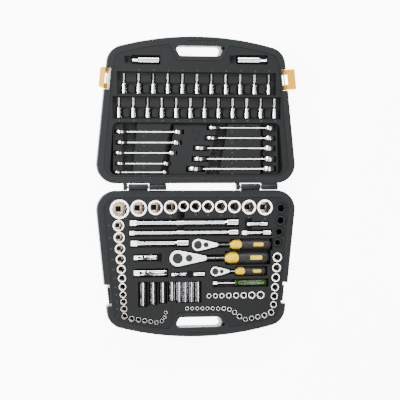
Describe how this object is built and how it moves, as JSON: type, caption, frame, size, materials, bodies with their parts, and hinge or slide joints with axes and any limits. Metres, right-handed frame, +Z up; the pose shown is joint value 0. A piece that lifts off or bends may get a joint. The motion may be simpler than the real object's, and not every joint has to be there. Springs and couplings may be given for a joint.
{
  "type": "socket wrench set in case",
  "caption": "Socket wrench set in a hinged moulded case: ratchets, sockets, extension bars, universal joints, bit sockets and wrenches, each in its own pocket.",
  "frame": {"origin": "on the bench, under the middle of the hinge line of the case lying open flat", "axes": "+X right along the hinge line, +Y towards the open lid's handle, +Z up; the base lies at -Y"},
  "size_m": [0.4653, 0.6854, 0.065],
  "materials": {
    "case_plastic": "moulded",
    "tray_plastic": "moulded",
    "latch_plastic": "satin",
    "collar_plastic": "satin",
    "chrome": "polished",
    "black_oxide": "satin",
    "tool_steel": "satin",
    "pin_steel": "satin",
    "grip_rubber": "matt",
    "handle_green": "clear"
  },
  "bodies": {
    "base": {"base_shell": "case_plastic", "base_tray": "tray_plastic", "hinge_pins": "pin_steel", "half_inch_sockets": "chrome", "black_sockets": "black_oxide", "three_eighths_sockets": "chrome", "right_column_sockets": "chrome", "quarter_inch_sockets_left": "chrome", "quarter_inch_sockets_right": "chrome", "middle_row_sockets": "chrome", "deep_sockets": "chrome"},
    "lid": {"lid_shell": "case_plastic", "lid_tray": "tray_plastic", "latch_pins": "pin_steel", "bit_sockets_upper": "chrome", "bit_sockets_lower": "chrome", "bits_upper": "tool_steel", "bits_lower": "tool_steel", "wrenches_left": "chrome", "wrenches_right": "chrome", "spark_plug_socket_left": "chrome", "spark_plug_socket_right": "chrome"},
    "latch_left": {"latch_left": "latch_plastic"},
    "latch_right": {"latch_right": "latch_plastic"},
    "spinner": {"spinner_shaft": "chrome", "spinner_handle": "handle_green"},
    "adapter": {"adapter": "chrome"},
    "bar_half_inch_long": {"bar_half_inch_long": "chrome"},
    "bar_three_eighths_long": {"bar_three_eighths_long": "chrome"},
    "bar_half_inch_short": {"bar_half_inch_short": "chrome"},
    "bar_quarter_short": {"bar_quarter_short": "chrome"},
    "bar_three_eighths_short": {"bar_three_eighths_short": "chrome"},
    "ratchet_three_eighths": {"ratchet_three_eighths_body": "chrome", "ratchet_three_eighths_grip": "grip_rubber", "ratchet_three_eighths_collar": "collar_plastic"},
    "ratchet_three_eighths_drive": {"ratchet_three_eighths_drive": "black_oxide"},
    "ratchet_three_eighths_lever": {"ratchet_three_eighths_lever": "black_oxide"},
    "ratchet_three_eighths_button": {"ratchet_three_eighths_button": "black_oxide"},
    "ratchet_half_inch": {"ratchet_half_inch_body": "chrome", "ratchet_half_inch_grip": "grip_rubber", "ratchet_half_inch_collar": "collar_plastic"},
    "ratchet_half_inch_drive": {"ratchet_half_inch_drive": "black_oxide"},
    "ratchet_half_inch_lever": {"ratchet_half_inch_lever": "black_oxide"},
    "ratchet_half_inch_button": {"ratchet_half_inch_button": "black_oxide"},
    "ratchet_quarter": {"ratchet_quarter_body": "chrome", "ratchet_quarter_grip": "grip_rubber", "ratchet_quarter_collar": "collar_plastic"},
    "ratchet_quarter_drive": {"ratchet_quarter_drive": "black_oxide"},
    "ratchet_quarter_lever": {"ratchet_quarter_lever": "black_oxide"},
    "ratchet_quarter_button": {"ratchet_quarter_button": "black_oxide"},
    "universal_joint_three_eighths": {"universal_joint_three_eighths_drive_yoke": "chrome"},
    "universal_joint_three_eighths_end": {"universal_joint_three_eighths_cross": "chrome", "universal_joint_three_eighths_socket_yoke": "chrome"},
    "universal_joint_half_inch": {"universal_joint_half_inch_drive_yoke": "chrome"},
    "universal_joint_half_inch_end": {"universal_joint_half_inch_cross": "chrome", "universal_joint_half_inch_socket_yoke": "chrome"},
    "universal_joint_quarter": {"universal_joint_quarter_drive_yoke": "chrome"},
    "universal_joint_quarter_end": {"universal_joint_quarter_cross": "chrome", "universal_joint_quarter_socket_yoke": "chrome"}
  },
  "joints": [
    {"name": "lid_hinge", "type": "hinge", "parent": "base", "child": "lid", "pos_m": [0, 0, 0.05], "axis": [1, 0, 0], "range_deg": [0, 180]},
    {"name": "latch_right_swing", "type": "hinge", "parent": "lid", "child": "latch_right", "pos_m": [0.206, 0.246, 0.04], "axis": [-0.1002, 0.995, 0], "range_deg": [-80, 10]},
    {"name": "latch_left_swing", "type": "hinge", "parent": "lid", "child": "latch_left", "pos_m": [-0.206, 0.246, 0.04], "axis": [-0.1002, -0.995, 0], "range_deg": [-25, 65]},
    {"name": "ratchet_three_eighths_drive_turn", "type": "hinge", "parent": "ratchet_three_eighths", "child": "ratchet_three_eighths_drive", "pos_m": [0.0031, -0.133, 0.0358], "axis": [0, 0, 1], "continuous": true},
    {"name": "ratchet_three_eighths_lever_flip", "type": "hinge", "parent": "ratchet_three_eighths", "child": "ratchet_three_eighths_lever", "pos_m": [0.022, -0.133, 0.0358], "axis": [0, 0, 1], "range_deg": [-25, 25]},
    {"name": "ratchet_three_eighths_button_press", "type": "slide", "parent": "ratchet_three_eighths_drive", "child": "ratchet_three_eighths_button", "axis": [0, 0, -1], "range_m": [0, 0.0015], "stiffness_N_per_m": 250},
    {"name": "ratchet_half_inch_drive_turn", "type": "hinge", "parent": "ratchet_half_inch", "child": "ratchet_half_inch_drive", "pos_m": [-0.0441, -0.1634, 0.0334], "axis": [0, 0, 1], "continuous": true},
    {"name": "ratchet_half_inch_lever_flip", "type": "hinge", "parent": "ratchet_half_inch", "child": "ratchet_half_inch_lever", "pos_m": [-0.0174, -0.1634, 0.0334], "axis": [0, 0, 1], "range_deg": [-25, 25]},
    {"name": "ratchet_half_inch_button_press", "type": "slide", "parent": "ratchet_half_inch_drive", "child": "ratchet_half_inch_button", "axis": [0, 0, -1], "range_m": [0, 0.0015], "stiffness_N_per_m": 250},
    {"name": "ratchet_quarter_drive_turn", "type": "hinge", "parent": "ratchet_quarter", "child": "ratchet_quarter_drive", "pos_m": [0.0436, -0.1944, 0.0382], "axis": [0, 0, 1], "continuous": true},
    {"name": "ratchet_quarter_lever_flip", "type": "hinge", "parent": "ratchet_quarter", "child": "ratchet_quarter_lever", "pos_m": [0.0586, -0.1944, 0.0382], "axis": [0, 0, 1], "range_deg": [-25, 25]},
    {"name": "ratchet_quarter_button_press", "type": "slide", "parent": "ratchet_quarter_drive", "child": "ratchet_quarter_button", "axis": [0, 0, -1], "range_m": [0, 0.0015], "stiffness_N_per_m": 250},
    {"name": "universal_joint_three_eighths_bend", "type": "hinge", "parent": "universal_joint_three_eighths", "child": "universal_joint_three_eighths_end", "pos_m": [-0.117, -0.1607, 0.0412], "axis": [0, -1, 0], "range_deg": [0, 45]},
    {"name": "universal_joint_half_inch_bend", "type": "hinge", "parent": "universal_joint_half_inch", "child": "universal_joint_half_inch_end", "pos_m": [-0.109, -0.1955, 0.0392], "axis": [0, -1, 0], "range_deg": [0, 45]},
    {"name": "universal_joint_quarter_bend", "type": "hinge", "parent": "universal_joint_quarter", "child": "universal_joint_quarter_end", "pos_m": [-0.0415, -0.1998, 0.0436], "axis": [0, -1, 0], "range_deg": [0, 45]},
    {"name": "spinner_lift", "type": "slide", "parent": "base", "child": "spinner", "axis": [0, 0, 1], "range_m": [0, 0.12]},
    {"name": "adapter_lift", "type": "slide", "parent": "base", "child": "adapter", "axis": [0, 0, 1], "range_m": [0, 0.12]},
    {"name": "bar_half_inch_long_lift", "type": "slide", "parent": "base", "child": "bar_half_inch_long", "axis": [0, 0, 1], "range_m": [0, 0.12]},
    {"name": "bar_three_eighths_long_lift", "type": "slide", "parent": "base", "child": "bar_three_eighths_long", "axis": [0, 0, 1], "range_m": [0, 0.12]},
    {"name": "bar_half_inch_short_lift", "type": "slide", "parent": "base", "child": "bar_half_inch_short", "axis": [0, 0, 1], "range_m": [0, 0.12]},
    {"name": "bar_quarter_short_lift", "type": "slide", "parent": "base", "child": "bar_quarter_short", "axis": [0, 0, 1], "range_m": [0, 0.12]},
    {"name": "bar_three_eighths_short_lift", "type": "slide", "parent": "base", "child": "bar_three_eighths_short", "axis": [0, 0, 1], "range_m": [0, 0.12]},
    {"name": "ratchet_three_eighths_lift", "type": "slide", "parent": "base", "child": "ratchet_three_eighths", "axis": [0, 0, 1], "range_m": [0, 0.12]},
    {"name": "ratchet_half_inch_lift", "type": "slide", "parent": "base", "child": "ratchet_half_inch", "axis": [0, 0, 1], "range_m": [0, 0.12]},
    {"name": "ratchet_quarter_lift", "type": "slide", "parent": "base", "child": "ratchet_quarter", "axis": [0, 0, 1], "range_m": [0, 0.12]},
    {"name": "universal_joint_three_eighths_lift", "type": "slide", "parent": "base", "child": "universal_joint_three_eighths", "axis": [0, 0, 1], "range_m": [0, 0.12]},
    {"name": "universal_joint_half_inch_lift", "type": "slide", "parent": "base", "child": "universal_joint_half_inch", "axis": [0, 0, 1], "range_m": [0, 0.12]},
    {"name": "universal_joint_quarter_lift", "type": "slide", "parent": "base", "child": "universal_joint_quarter", "axis": [0, 0, 1], "range_m": [0, 0.12]}
  ]
}
